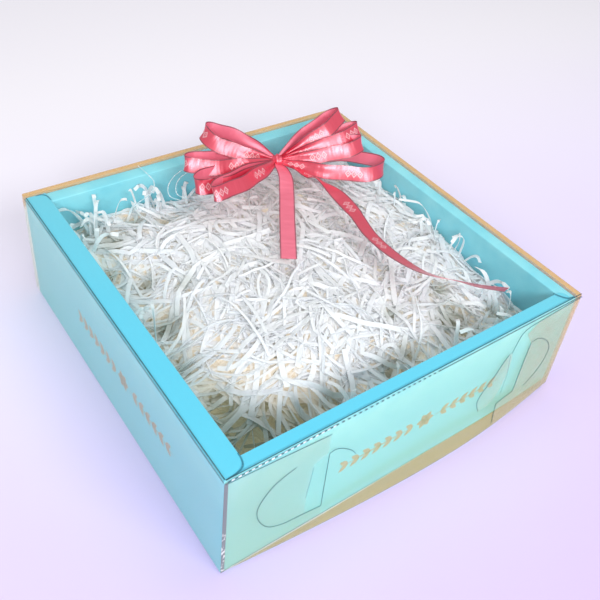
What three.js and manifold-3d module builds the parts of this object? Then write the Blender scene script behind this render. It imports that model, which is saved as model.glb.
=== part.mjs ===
// A square gift box: a folding-carton tray with thick frame walls, filled with a heap of
// shredded paper, closed by a clear film cover with tongue locks, with a ribbon bow on top.
// Millimetres, +Z up. The origin is the centre of the carton's base, the front is -Y.
import * as THREE from "three";
import { mergeVertices } from "three/addons/utils/BufferGeometryUtils.js";
import Module from "manifold-3d";

const wasm = await Module();
wasm.setup();

// The carton: its outside, and how far each frame wall reaches inwards
const CARTON_SIDE = 300;
const CARTON_HEIGHT = 96;
const BOARD_BASE = 3;
const RIM = { left: 17, right: 10.5, front: 11, back: 12.5 };
const BOARD = 0.4;

// The film cover: clearance at each side, and how far its loose sides stand off the carton
const FILM = 0.4;
const FILM_FIT = 0.4;
const FILM_SLACK = { right: 5.6, back: 5.6 };
const FILM_TOP = CARTON_HEIGHT + 1.2;
const FILM_FLOOR_GAP = 1;
const FRONT_BOW = { depth: 10.5, peak: 35 };
const RIGHT_BULGE = 4;

// The corner locks: a flap folded round from each side wall, and an oval tongue through it
const LOCK = { top: 93, slope: 6, ovalZ: 48, ovalTall: 51 };
const LOCKS = [
  { side: -1, flapEnd: -76, ovalX: -90, ovalWide: 74 },
  { side: 1, flapEnd: 100, ovalX: 97, ovalWide: 78 },
];

// The shredded paper: strips on a mound
const STRIP = { wide: 3.8, thick: 1, steps: 5 };
const STRIP_ROWS = 9;
const MOUND_STEPS = 12;
const HEAP_TOP = 91;
const HEAP_FIT = 0.5;

// The ribbon bow, tied at a knot that rests on the cover
const RIBBON = { wide: 12.5, thick: 0.6 };
const KNOT = new THREE.Vector3(48, 95, 104.2);
const KNOT_SIZE = { long: 11, round: 5.6 };

const HALF = CARTON_SIDE / 2;
const INNER = {
  x0: -HALF + RIM.left,
  x1: HALF - RIM.right,
  y0: -HALF + RIM.front,
  y1: HALF - RIM.back,
};
const DEGREE = Math.PI / 180;

// Joining and cutting

function solid(geometry) {
  const bare = geometry.clone();
  bare.deleteAttribute("normal");
  bare.deleteAttribute("uv");
  const merged = mergeVertices(bare, 1e-4);
  return new wasm.Manifold(
    new wasm.Mesh({
      numProp: 3,
      vertProperties: new Float32Array(merged.attributes.position.array),
      triVerts: new Uint32Array(merged.index.array),
    }),
  );
}

function geometryOf(manifold) {
  const mesh = manifold.getMesh();
  const geometry = new THREE.BufferGeometry();
  geometry.setAttribute("position", new THREE.BufferAttribute(mesh.vertProperties, 3));
  geometry.setIndex(new THREE.BufferAttribute(mesh.triVerts, 1));
  geometry.computeVertexNormals();
  return geometry;
}

// The largest closed body: loose scraps and sealed hollows fall away
function wholeOf(manifold) {
  const bodies = manifold.decompose();
  return bodies.reduce((best, body) => (body.volume() > best.volume() ? body : best));
}

function block(x0, x1, y0, y1, z0, z1) {
  const geometry = new THREE.BoxGeometry(x1 - x0, y1 - y0, z1 - z0);
  return solid(geometry.translate((x0 + x1) / 2, (y0 + y1) / 2, (z0 + z1) / 2));
}

// A box mesh of several steps whose every vertex is carried to place(u, v, w), each -1 to 1
function shapedBox(stepsU, stepsV, stepsW, place) {
  const geometry = new THREE.BoxGeometry(2, 2, 2, stepsU, stepsV, stepsW);
  const position = geometry.attributes.position;
  for (let i = 0; i < position.count; i += 1) {
    const p = place(position.getX(i), position.getY(i), position.getZ(i));
    position.setXYZ(i, p.x, p.y, p.z);
  }
  return solid(geometry);
}

function mixed(low, high, u) {
  return low + ((u + 1) / 2) * (high - low);
}

function smooth(low, high, x) {
  const t = Math.min(Math.max((x - low) / (high - low), 0), 1);
  return t * t * (3 - 2 * t);
}

// The carton tray: frame walls round a cavity, with the rim panels lapped at the corners

function lappedPanel(x0, x1, y0, y1, z, radius) {
  const outline = new THREE.Shape();
  outline.moveTo(x0, y0);
  outline.lineTo(x1 - radius, y0);
  outline.absarc(x1 - radius, y0 + radius, radius, -Math.PI / 2, 0, false);
  outline.lineTo(x1, y1 - radius);
  outline.absarc(x1 - radius, y1 - radius, radius, 0, Math.PI / 2, false);
  outline.lineTo(x0, y1);
  const panel = new THREE.ExtrudeGeometry(outline, {
    depth: z - CARTON_HEIGHT + 1,
    bevelEnabled: false,
    curveSegments: 5,
  });
  return solid(panel.translate(0, 0, CARTON_HEIGHT - 1));
}

function cartonTray() {
  const outside = block(-HALF, HALF, -HALF, HALF, 0, CARTON_HEIGHT);
  const cavity = block(INNER.x0, INNER.x1, INNER.y0, INNER.y1, BOARD_BASE, CARTON_HEIGHT + 2);
  const leftRim = lappedPanel(-HALF, INNER.x0, -HALF, HALF, CARTON_HEIGHT + 2 * BOARD, 6);
  const frontRim = lappedPanel(-HALF, HALF - 4, -HALF, INNER.y0, CARTON_HEIGHT + BOARD, 4);
  return outside.subtract(cavity).add(leftRim).add(frontRim);
}

// The film cover: an upside-down tray of clear film, bowed out at the front and the right

function frontBow(x, z) {
  const reach = x < FRONT_BOW.peak ? FRONT_BOW.peak + HALF : HALF + 8 - FRONT_BOW.peak;
  const across = Math.cos((Math.min(Math.abs(x - FRONT_BOW.peak) / reach, 1) * Math.PI) / 2);
  return FRONT_BOW.depth * across * Math.pow(1 - z / FILM_TOP, 1.3);
}

function rightBulge(y, z) {
  const along = Math.cos((Math.min(Math.abs(y) / HALF, 1) * Math.PI) / 2);
  return RIGHT_BULGE * along * Math.sin((Math.PI * z) / FILM_TOP);
}

function filmBlock(grow, zHigh) {
  const left = -HALF - FILM_FIT - grow;
  const front = -HALF - FILM_FIT - grow;
  const right = HALF + FILM_SLACK.right + grow;
  const back = HALF + FILM_SLACK.back + grow;
  return shapedBox(14, 8, 4, (u, v, w) => {
    const x = mixed(left, right, u);
    const y = mixed(front, back, v);
    const fall = mixed(0, FILM_TOP, w);
    const z = w < 1 ? fall : zHigh;
    const outX = ((u + 1) / 2) * rightBulge(y, fall);
    const outY = ((1 - v) / 2) * frontBow(x, fall);
    return { x: x + outX, y: y - outY, z };
  });
}

function ovalOutline(x, z, wide, tall) {
  const oval = new THREE.Shape();
  const r = tall / 2;
  const straight = wide / 2 - r * 0.9;
  oval.moveTo(x - straight, z - r);
  oval.lineTo(x + straight, z - r);
  oval.absellipse(x + straight, z, r * 0.9, r, -Math.PI / 2, Math.PI / 2, false);
  oval.lineTo(x - straight, z + r);
  oval.absellipse(x - straight, z, r * 0.9, r, Math.PI / 2, (3 * Math.PI) / 2, false);
  return oval;
}

function flapOutline(side, end) {
  const flap = new THREE.Shape();
  flap.moveTo(side * (HALF - 1), -1);
  flap.lineTo(end, -1);
  flap.lineTo(end, LOCK.top - LOCK.slope);
  flap.lineTo(side * (HALF - 1), LOCK.top);
  flap.closePath();
  return flap;
}

// A prism through the front or back wall at y, of an outline with x across and z up
function wallPrism(outline, y) {
  const depth = 50;
  const prism = new THREE.ExtrudeGeometry(outline, {
    depth,
    bevelEnabled: false,
    curveSegments: 8,
  });
  return solid(prism.rotateX(Math.PI / 2).translate(0, y + depth / 2, 0));
}

function filmCover() {
  const inside = filmBlock(0, FILM_TOP);
  const flapLayer = filmBlock(2 * FILM, FILM_TOP + FILM);
  const ovalLayer = filmBlock(3 * FILM, FILM_TOP + FILM);
  let cover = filmBlock(FILM, FILM_TOP + FILM);
  for (const { side, flapEnd, ovalX, ovalWide } of LOCKS) {
    const flap = flapOutline(side, flapEnd);
    const oval = ovalOutline(ovalX, LOCK.ovalZ, ovalWide, LOCK.ovalTall);
    for (const wall of [-HALF, HALF]) {
      cover = cover.add(flapLayer.intersect(wallPrism(flap, wall)));
      cover = cover.add(ovalLayer.intersect(wallPrism(oval, wall)));
    }
  }
  const opening = block(-HALF * 2, HALF * 2, -HALF * 2, HALF * 2, -1, FILM_FLOOR_GAP);
  return cover.subtract(inside).subtract(opening);
}

// The shredded paper: a mound that follows the cavity, with loose strips fused on

let seed = 20261130;
function random() {
  seed = (Math.imul(seed, 1664525) + 1013904223) >>> 0;
  return seed / 4294967296;
}

function between(low, high) {
  return low + random() * (high - low);
}

// Height of the mound: highest a little behind the middle, low in the front-left corner,
// along the left and the front wall and along part of the back wall, with lumps
function moundHeight(x, y) {
  const dome = Math.cos((x / 330) * Math.PI) * Math.cos(((y - 10) / 330) * Math.PI);
  const corner = 10 * smooth(125, 10, Math.hypot(x - INNER.x0, y - INNER.y0));
  const left = 13 * smooth(75, 25, x - INNER.x0) * smooth(85, 30, y);
  const front = 12 * smooth(80, 30, y - INNER.y0) * smooth(80, -10, x);
  const backDip = 13 * Math.exp(-(((x + 30) / 32) ** 2)) * smooth(70, INNER.y1, y);
  const lumps = 2.4 * Math.sin(x / 17 + 1.3 * Math.sin(y / 29)) * Math.cos(y / 21 - 0.6);
  return 63 + 18 * dome - corner - left - front - backDip + lumps;
}

function mound() {
  return shapedBox(MOUND_STEPS, MOUND_STEPS, 1, (u, v, w) => {
    const x = mixed(INNER.x0 + HEAP_FIT, INNER.x1 - HEAP_FIT, u);
    const y = mixed(INNER.y0 + HEAP_FIT, INNER.y1 - HEAP_FIT, v);
    const z = w < 0 ? BOARD_BASE + HEAP_FIT : moundHeight(x, y);
    return { x, y, z };
  });
}

// One strip: an arc in plan that rises out of the mound and dips back into it, twisting
function paperStrip(x, y) {
  const heading = between(0, 2 * Math.PI);
  const length = between(42, 74);
  const turn = between(-1.5, 1.5);
  const rise = between(2, 9);
  const lean = between(-1.1, 1.1);
  const twist = between(-0.8, 0.8);
  const middle = (u) => {
    const bend = heading + (turn * u) / 2;
    const px = x + (length / 2) * u * Math.cos(bend);
    const py = y + (length / 2) * u * Math.sin(bend);
    const lift = rise * Math.cos((u * Math.PI) / 2) - 1.4;
    return new THREE.Vector3(px, py, moundHeight(px, py) + lift);
  };
  return shapedBox(STRIP.steps, 1, 1, (u, v, w) => {
    const along = middle(u + 0.02).sub(middle(u - 0.02)).normalize();
    const flat = new THREE.Vector3(0, 0, 1).cross(along).normalize();
    const across = flat.applyAxisAngle(along, lean + twist * u);
    const normal = along.clone().cross(across);
    return middle(u)
      .addScaledVector(across, (v * STRIP.wide) / 2)
      .addScaledVector(normal, (w * STRIP.thick) / 2);
  });
}

function shreddedPaper() {
  const strips = [mound()];
  const stepX = (INNER.x1 - INNER.x0) / STRIP_ROWS;
  const stepY = (INNER.y1 - INNER.y0) / STRIP_ROWS;
  for (let row = 0; row < STRIP_ROWS; row += 1) {
    for (let column = 0; column < STRIP_ROWS; column += 1) {
      const x = INNER.x0 + stepX * (column + between(0.2, 0.8));
      const y = INNER.y0 + stepY * (row + between(0.2, 0.8));
      strips.push(paperStrip(x, y));
    }
  }
  const room = block(
    INNER.x0 + HEAP_FIT,
    INNER.x1 - HEAP_FIT,
    INNER.y0 + HEAP_FIT,
    INNER.y1 - HEAP_FIT,
    BOARD_BASE + HEAP_FIT,
    HEAP_TOP,
  );
  return wholeOf(wasm.Manifold.union(strips).intersect(room));
}

// The bow: eight loops and two tails of one ribbon, gathered in a knot

// A flat ribbon swept along middle(t), its width along across(t), t from 0 to 1
function ribbonRun(steps, middle, across, width) {
  return shapedBox(steps, 1, 1, (u, v, w) => {
    const t = (u + 1) / 2;
    const along = middle(Math.min(t + 0.01, 1)).sub(middle(Math.max(t - 0.01, 0)));
    const side = across(t).normalize();
    const normal = along.cross(side).normalize();
    return middle(t)
      .addScaledVector(side, (v * width(t)) / 2)
      .addScaledVector(normal, (w * RIBBON.thick) / 2);
  });
}

// One loop: a teardrop that leaves the knot towards a heading and comes back to it. Its two
// runs part along the opening, and each has a lean of its own, that changes over at the end
function bowLoop({ heading, rise, length, belly, opening, leanOut, leanBack }) {
  const a = heading * DEGREE;
  const e = rise * DEGREE;
  const o = opening * DEGREE;
  const out = new THREE.Vector3(
    Math.cos(a) * Math.cos(e),
    Math.sin(a) * Math.cos(e),
    Math.sin(e),
  );
  const level = new THREE.Vector3(-Math.sin(a), Math.cos(a), 0);
  const above = out.clone().cross(level);
  const open = level.clone().multiplyScalar(Math.cos(o)).addScaledVector(above, Math.sin(o));
  const wide = (t) => {
    const l = (leanOut + (leanBack - leanOut) * smooth(0.35, 0.65, t)) * DEGREE;
    return above.clone().multiplyScalar(Math.cos(l)).addScaledVector(level, -Math.sin(l));
  };
  const reach = (t) => (1 - Math.cos(2 * Math.PI * t)) / 2;
  return ribbonRun(
    22,
    (t) => {
      const gap = (belly * Math.sin(2 * Math.PI * t) * Math.sin(Math.PI * t)) / 0.77;
      return KNOT.clone().addScaledVector(out, length * reach(t)).addScaledVector(open, gap);
    },
    wide,
    (t) => RIBBON.wide * (0.35 + 0.65 * smooth(0, 0.45, reach(t))),
  );
}

const LOOPS = [
  { heading: 5, rise: 20, length: 73, belly: 9, opening: -20, leanOut: -24, leanBack: -38 },
  { heading: -9, rise: 13, length: 79, belly: 8, opening: -16, leanOut: -22, leanBack: -35 },
  { heading: -22, rise: 10.5, length: 75, belly: 9, opening: -8, leanOut: -16, leanBack: -36 },
  { heading: -36, rise: 1.5, length: 91, belly: 15, opening: -2, leanOut: -2, leanBack: -36 },
  { heading: 145, rise: 20, length: 67, belly: 10.5, opening: -4, leanOut: 38, leanBack: 12 },
  { heading: 170, rise: 9, length: 83, belly: 9, opening: 5, leanOut: 34, leanBack: 14 },
  { heading: 188, rise: 6, length: 87, belly: 10, opening: 2, leanOut: 34, leanBack: 14 },
  { heading: 201, rise: 8, length: 88, belly: 7, opening: 10, leanOut: 36, leanBack: 20 },
];

// A tail: a smooth route from the knot over the cover, rolled about itself on the way
function bowTail(points, rolls, steps) {
  const route = new THREE.CatmullRomCurve3(points.map((p) => new THREE.Vector3(...p)));
  const roll = (t) => {
    const place = t * (rolls.length - 1);
    const i = Math.min(Math.floor(place), rolls.length - 2);
    return rolls[i] + (rolls[i + 1] - rolls[i]) * (place - i);
  };
  return ribbonRun(
    steps,
    (t) => route.getPoint(t),
    (t) => {
      const along = route.getTangent(t);
      const level = new THREE.Vector3(0, 0, 1).cross(along).normalize();
      return level.applyAxisAngle(along, roll(t) * DEGREE);
    },
    (t) => RIBBON.wide * (0.5 + 0.5 * smooth(0, 0.15, t)),
  );
}

const REST = FILM_TOP + FILM + 1;
const FRONT_TAIL = [
  [48, 95, 103],
  [44, 77, 101],
  [33, 58, REST],
  [15, 31, REST],
  [-13, -12, REST],
];
const FRONT_TAIL_ROLL = [-20, -12, 0, 0, 0];
const RIGHT_TAIL = [
  [48, 95, 102.5],
  [55.5, 90.1, 101.6],
  [59.7, 82.7, 101.2],
  [62.4, 65.7, 101],
  [64.5, 55.9, 102.6],
  [68, 35.3, 99.6],
  [65.9, 15.8, 99.8],
  [62.9, 2.1, 100.2],
  [57.7, -20.1, 100.2],
  [56.9, -45.1, 100.5],
  [60, -67.9, 101.4],
  [65.4, -82.1, 102.3],
  [78.2, -98.2, 103],
  [86.9, -109.9, 103.7],
  [101.2, -122.6, 103.9],
];
const RIGHT_TAIL_ROLL = [-15, -15, -18, -13, -36, 3, 6, -9, -12, -15, -24, -33, -42, -49, -54];

function knotBand() {
  const band = new THREE.SphereGeometry(1, 14, 10);
  band.scale(KNOT_SIZE.long / 2, KNOT_SIZE.round, KNOT_SIZE.round);
  band.rotateZ(-35 * DEGREE).translate(KNOT.x, KNOT.y, KNOT.z);
  return solid(band);
}

function ribbonBow() {
  const runs = LOOPS.map(bowLoop);
  runs.push(bowTail(FRONT_TAIL, FRONT_TAIL_ROLL, 14));
  runs.push(bowTail(RIGHT_TAIL, RIGHT_TAIL_ROLL, 34));
  runs.push(knotBand());
  return wholeOf(wasm.Manifold.union(runs));
}

// The parts, each with its own finish

function named(name, manifold, finish) {
  const mesh = new THREE.Mesh(geometryOf(manifold), new THREE.MeshStandardMaterial(finish));
  mesh.name = name;
  return mesh;
}

const giftBox = new THREE.Group();
giftBox.add(named("tray", cartonTray(), { color: 0x8fdcec, roughness: 0.55, metalness: 0 }));
giftBox.add(named("shred", shreddedPaper(), { color: 0xf4f2ea, roughness: 0.8, metalness: 0 }));
giftBox.add(
  named("cover", filmCover(), {
    color: 0xf2f0dc,
    roughness: 0.08,
    metalness: 0,
    transparent: true,
    opacity: 0.2,
  }),
);
giftBox.add(named("bow", ribbonBow(), { color: 0xe8586f, roughness: 0.35, metalness: 0 }));

export default giftBox;
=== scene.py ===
import math
from functools import partialmethod

import bmesh
import bpy
import numpy as np
from mathutils import Matrix


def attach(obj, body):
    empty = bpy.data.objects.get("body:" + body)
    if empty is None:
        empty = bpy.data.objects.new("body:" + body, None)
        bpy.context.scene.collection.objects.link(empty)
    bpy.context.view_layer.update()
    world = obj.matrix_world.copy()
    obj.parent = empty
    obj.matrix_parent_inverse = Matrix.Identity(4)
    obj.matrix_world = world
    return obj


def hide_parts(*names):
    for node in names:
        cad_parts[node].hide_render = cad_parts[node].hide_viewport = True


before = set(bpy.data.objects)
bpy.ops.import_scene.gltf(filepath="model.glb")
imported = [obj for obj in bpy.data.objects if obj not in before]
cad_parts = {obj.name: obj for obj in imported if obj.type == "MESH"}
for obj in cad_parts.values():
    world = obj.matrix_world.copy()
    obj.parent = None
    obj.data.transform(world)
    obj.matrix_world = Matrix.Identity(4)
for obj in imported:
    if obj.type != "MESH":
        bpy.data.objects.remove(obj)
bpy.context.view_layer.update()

# The camera stands to the left of the front. From a view along +Y it is turned towards +X,
# dipped and rolled. Its axis meets the square frame off the middle, as the shift says.

FRAME_PIXELS = 600
SENSOR_WIDTH = 36
FOCAL_PIXELS = 788.6
AXIS_PIXEL = (306.7, 251.6)
CAMERA_PLACE = (-0.2884, -0.3632, 0.4694)
CAMERA_AZIMUTH = 39.71
CAMERA_DIP = 39.07
CAMERA_ROLL = 6.81


def turned(degrees, axis):
    """A turn by so many degrees about one axis."""
    return Matrix.Rotation(math.radians(degrees), 4, axis)


camera = bpy.data.objects.new("camera", bpy.data.cameras.new("camera"))
camera.data.sensor_width = SENSOR_WIDTH
camera.data.lens = SENSOR_WIDTH * FOCAL_PIXELS / FRAME_PIXELS
camera.data.shift_x = (FRAME_PIXELS / 2 - AXIS_PIXEL[0]) / FRAME_PIXELS
camera.data.shift_y = (AXIS_PIXEL[1] - FRAME_PIXELS / 2) / FRAME_PIXELS
heading = turned(-CAMERA_AZIMUTH, "Z") @ turned(90 - CAMERA_DIP, "X")
camera.matrix_world = heading @ turned(CAMERA_ROLL, "Z")
camera.location = CAMERA_PLACE
bpy.context.scene.collection.objects.link(camera)
bpy.context.scene.camera = camera

# Carton tray: one blank of coated turquoise board, folded double into four thick frame walls
# round a base. The folds are soft, and the rim shows the flat top of each frame wall.

SIDE = 0.300
HALF = SIDE / 2
HEIGHT = 0.096
BASE_TOP = 0.003
BASE_FOOT = 0.0003
TUCK = 0.0004
RIM_LEFT = 0.017
RIM_RIGHT = 0.0105
RIM_FRONT = 0.011
RIM_BACK = 0.0125
FOLD = 0.0011
UPRIGHT_FOLD = 0.0008
INNER_X = (-HALF + RIM_LEFT, HALF - RIM_RIGHT)
INNER_Y = (-HALF + RIM_FRONT, HALF - RIM_BACK)


class Socket:
    """One output of a node tree. An operator on it adds the Math node of that name."""

    def __init__(self, finish, output):
        """Keeps the output and the finish it belongs to."""
        self.finish = finish
        self.output = output

    def math(self, operation, *values):
        """The Math node of that name on this value and others."""
        inputs = dict(enumerate((self, *values)))
        return self.finish.node("ShaderNodeMath", {"operation": operation}, inputs)

    def reflected(self, operation, other):
        """The Math node of that name on another value and this one."""
        return self.finish.node("ShaderNodeMath", {"operation": operation}, {0: other, 1: self})

    __add__ = partialmethod(math, "ADD")
    __radd__ = partialmethod(reflected, "ADD")
    __sub__ = partialmethod(math, "SUBTRACT")
    __rsub__ = partialmethod(reflected, "SUBTRACT")
    __mul__ = partialmethod(math, "MULTIPLY")
    __rmul__ = partialmethod(reflected, "MULTIPLY")
    __truediv__ = partialmethod(math, "DIVIDE")
    __abs__ = partialmethod(math, "ABSOLUTE")
    larger = partialmethod(math, "MAXIMUM")
    smaller = partialmethod(math, "MINIMUM")
    cosine = partialmethod(math, "COSINE")

    def wrapped(self, pitch):
        """The rest that is left of the value, from minus to plus half the pitch."""
        return self.math("WRAP", pitch / 2, -pitch / 2)

    def rises(self, low, high):
        """0 below low, 1 above high, smooth between; low may be the larger."""
        inputs = {"Value": self, "From Min": low, "From Max": high}
        settings = {"interpolation_type": "SMOOTHSTEP", "clamp": True}
        return self.finish.node("ShaderNodeMapRange", settings, inputs)


class Finish:
    """A material: constants on its Principled shader, and a tree of nodes for what varies.
    Its place is the object coordinates."""

    def __init__(self, name, constants):
        """Makes the material and sets what is the same all over it."""
        self.material = bpy.data.materials.new(name)
        self.material.use_nodes = True
        self.tree = self.material.node_tree
        self.shader = self.tree.nodes["Principled BSDF"]
        for socket, value in constants.items():
            self.shader.inputs[socket].default_value = value
        self.place = self.node("ShaderNodeTexCoord", {}, {}, "Object")

    def node(self, kind, settings, inputs, output=0):
        """Adds a node, applies its settings, then its inputs, and returns one output."""
        node = self.tree.nodes.new(kind)
        for setting, value in settings.items():
            setattr(node, setting, value)
        for socket, value in inputs.items():
            self.feed(node.inputs[socket], value)
        return Socket(self, node.outputs[output])

    def feed(self, socket, value):
        """Links the value to a socket if it comes from a node, or else sets it there."""
        if isinstance(value, Socket):
            self.tree.links.new(value.output, socket)
        else:
            socket.default_value = value

    def axes(self, names):
        """Those of the x, y and z of the place that are named."""
        parts = ["xyz".index(name) for name in names]
        return [self.node("ShaderNodeSeparateXYZ", {}, {0: self.place}, i) for i in parts]

    def own(self, attribute):
        """A value that the mesh carries at its points."""
        settings = {"attribute_name": attribute, "attribute_type": "GEOMETRY"}
        return self.node("ShaderNodeAttribute", settings, {}, "Fac")

    def noise(self, scale, detail=3.0, vector=None):
        """Cloudy noise about 0, from about -0.5 to 0.5, with scale waves to a metre of the
        place, or of another vector."""
        inputs = {"Vector": vector or self.place, "Scale": scale, "Detail": detail}
        return self.node("ShaderNodeTexNoise", {}, inputs) - 0.5

    def blend(self, share, first, second):
        """Colour from first to second by the share."""
        settings = {"data_type": "RGBA", "clamp_factor": True}
        return self.node("ShaderNodeMix", settings, {0: share, 6: first, 7: second}, 2)

    def bump(self, height, depth):
        """Relief of that height, in units of depth metres."""
        inputs = {"Height": height, "Distance": depth, "Strength": 1.0}
        self.varies("Normal", self.node("ShaderNodeBump", {}, inputs))

    def varies(self, socket, value):
        """Feeds a socket of the shader with what changes over the surface."""
        self.feed(self.shader.inputs[socket], value)

    def colour(self, share, first, second):
        """Gives the surface the blend of two colours by the share."""
        self.varies("Base Color", self.blend(share, first, second))


def grid_faces(rows, columns, round_rows=False, round_columns=False):
    """Four-cornered faces of a grid of points; a round direction joins its end to its start."""
    index = np.arange(rows * columns).reshape(rows, columns)
    if round_rows:
        index = np.concatenate([index, index[:1]], 0)
    if round_columns:
        index = np.concatenate([index, index[:, :1]], 1)
    corners = [index[:-1, :-1], index[1:, :-1], index[1:, 1:], index[:-1, 1:]]
    return np.stack(corners, -1).reshape(-1, 4)


def put_mesh(name, points, faces, finish, smooth=True, values=None):
    """Makes an object of points and four-cornered faces, with values carried at its points."""
    mesh = bpy.data.meshes.new(name)
    mesh.vertices.add(len(points))
    mesh.vertices.foreach_set("co", np.ascontiguousarray(points, np.float32).ravel())
    mesh.loops.add(faces.size)
    mesh.loops.foreach_set("vertex_index", faces.ravel().astype(np.int32))
    mesh.polygons.add(len(faces))
    mesh.polygons.foreach_set("loop_start", np.arange(0, faces.size, 4, dtype=np.int32))
    mesh.polygons.foreach_set("use_smooth", np.full(len(faces), smooth))
    for attribute, numbers in (values or {}).items():
        layer = mesh.attributes.new(attribute, "FLOAT", "POINT")
        layer.data.foreach_set("value", np.ascontiguousarray(numbers, np.float32).ravel())
    mesh.update(calc_edges=True)
    mesh.validate()
    mesh.materials.append(finish.material)
    piece = bpy.data.objects.new(name, mesh)
    bpy.context.scene.collection.objects.link(piece)
    return piece


def crisp(piece, pairs):
    """Marks the edges that join those pairs of points as sharp, so that light breaks there."""
    mesh = piece.data
    ends = np.empty(2 * len(mesh.edges), np.int32)
    mesh.edges.foreach_get("vertices", ends)
    weights = np.array([len(mesh.vertices), 1])
    codes = np.sort(ends.reshape(-1, 2), 1) @ weights
    layer = mesh.attributes.new("sharp_edge", "BOOLEAN", "EDGE")
    layer.data.foreach_set("value", np.isin(codes, np.sort(pairs, 1) @ weights))


def placed(piece, node):
    """The piece moves with the box and stands for the node."""
    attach(piece, "root")
    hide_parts(node)


def closed_sheets(name, top, under, finish, values=None, beneath=None):
    """Closed sheets, one for each first index: a grid of points on top, the same grid under
    it turned over, and a band round their edge. The values are carried on both sides, and
    those in beneath take their place on the underside."""
    count, rows, columns, _ = top.shape
    size = rows * columns
    index = np.arange(size).reshape(rows, columns)
    face = grid_faces(rows, columns)
    edge = [index[0, :-1], index[:-1, -1], index[-1, :0:-1], index[:0:-1, 0]]
    ring = np.concatenate(edge)
    after = np.roll(ring, -1)
    band = np.stack([ring, after, after + size, ring + size], -1)
    one = np.concatenate([face, face[:, ::-1] + size, band])
    faces = one[None] + (2 * size * np.arange(count))[:, None, None]
    points = np.concatenate([top.reshape(count, -1, 3), under.reshape(count, -1, 3)], 1)
    smooth = np.tile(np.arange(len(one)) < 2 * len(face), count)
    doubled = {}
    for attribute, numbers in (values or {}).items():
        other = (beneath or {}).get(attribute, numbers)
        pair = [np.broadcast_to(one_side, top.shape[:3]) for one_side in (numbers, other)]
        doubled[attribute] = np.concatenate([side.reshape(count, -1) for side in pair], 1)
    piece = put_mesh(name, points.reshape(-1, 3), faces.reshape(-1, 4), finish, smooth, doubled)
    rim = np.stack([ring, after], -1)
    rims = np.concatenate([rim, rim + size])[None] + (2 * size * np.arange(count))[:, None, None]
    crisp(piece, rims.reshape(-1, 2))
    return piece


def rounded_square(insets, radius, per_side=24, per_corner=5):
    """A loop seen from above, anticlockwise from the front left: the square of the carton,
    with each side (left, right, front, back) moved in by its inset, and round corners."""
    left, right, front, back = insets
    low = np.array([-HALF + left, -HALF + front]) + radius
    high = np.array([HALF - right, HALF - back]) - radius
    centres = np.array([low, [high[0], low[1]], high, [low[0], high[1]]])
    turns = np.radians([180, 270, 360, 450])
    loop = []
    for i in range(4):
        angle = turns[i] + np.linspace(0, math.pi / 2, per_corner)
        arc = centres[i] + radius * np.stack([np.cos(angle), np.sin(angle)], -1)
        side = turns[i] + math.pi / 2
        start = arc[-1]
        end = centres[(i + 1) % 4] + radius * np.array([math.cos(side), math.sin(side)])
        share = np.linspace(0, 1, per_side + 2)[1:-1, None]
        loop.append(np.concatenate([arc, start + (end - start) * share]))
    return np.concatenate(loop)


def carton_walls():
    """A closed section carried round the square: up the outside, over a quarter-round fold,
    across the rim, over a fold, down the inside and back underneath. The flat value is 1 on
    the folds."""
    rims = np.array([RIM_LEFT, RIM_RIGHT, RIM_FRONT, RIM_BACK])
    turn = np.linspace(0, math.pi / 2, 5)
    over = FOLD * (1 - np.cos(turn))
    rise = HEIGHT - FOLD + FOLD * np.sin(turn)
    stations = [(0 * rims, z, 0.0) for z in (0.0, 0.0004, 0.0008, 0.03, 0.06)]
    stations += [(d + 0 * rims, z, 1.0) for d, z in zip(over, rise)]
    stations += [(rims - d, z, 1.0) for d, z in zip(over[::-1], rise[::-1])]
    stations += [(rims, z, 0.0) for z in (0.06, 0.03, 0.001, 0.0)]
    loops = [rounded_square(inset, UPRIGHT_FOLD) for inset, z, fold in stations]
    heights = np.array([z for inset, z, fold in stations])
    folds = np.array([fold for inset, z, fold in stations])
    plan = np.stack(loops, 1)
    points = np.concatenate([plan, np.broadcast_to(heights[:, None], plan.shape[:2] + (1,))], -1)
    faces = grid_faces(*plan.shape[:2], round_rows=True, round_columns=True)
    values = {"fold": np.broadcast_to(folds, plan.shape[:2])}
    return points.reshape(-1, 3), faces, values


def coated_board():
    """Turquoise coated board: cloudy colour, deeper on the rim towards the front left corner, with the
    fine grain of the coating. It is paler on the folds, partly wear and partly a painted highlight
    where light catches the fold."""
    finish = Finish("coated_board", {"IOR": 1.45})
    x, y, z = finish.axes("xyz")
    cloud = finish.noise(9)
    fibre = finish.noise(900, 5.0)
    # Painted highlight: the folds are paler, for light caught on them, and a little worn.
    fold = finish.own("fold") * (0.45 + finish.noise(60))
    near = (x + y).rises(0.12, -0.22) * z.rises(0.085, 0.095)
    plain = finish.blend(near + 0.4 * cloud, (0.140, 0.580, 0.72, 1), (0.096, 0.585, 0.80, 1))
    finish.colour(fold + 0.12 * fibre, plain, (0.34, 0.78, 0.85, 1))
    finish.varies("Roughness", 0.46 + 0.25 * fibre)
    finish.bump(fibre, 0.00006)
    return finish


board = coated_board()
points, faces, values = carton_walls()
walls = put_mesh("carton_walls", points, faces, board, values=values)
placed(walls, "tray")


def level_board(low, high, along, top, thickness):
    """A flat panel: for each place along Y its X runs from high to low in equal steps."""
    low, high = (np.broadcast_to(end, along.shape)[:, None] for end in (low, high))
    x = high + (low - high) * np.linspace(0, 1, 9)
    y = np.broadcast_to(along[:, None], x.shape)
    upper = np.stack([x, y, np.full_like(x, top)], -1)
    return upper[None], upper[None] - np.array([0, 0, thickness])


base_ends = (INNER_X[0] - TUCK, INNER_X[1] + TUCK)
base_along = np.linspace(INNER_Y[0] - TUCK, INNER_Y[1] + TUCK, 12)
base_board = level_board(*base_ends, base_along, BASE_TOP, BASE_TOP - BASE_FOOT)
base = closed_sheets("carton_base", *base_board, board)
placed(base, "tray")

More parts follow.
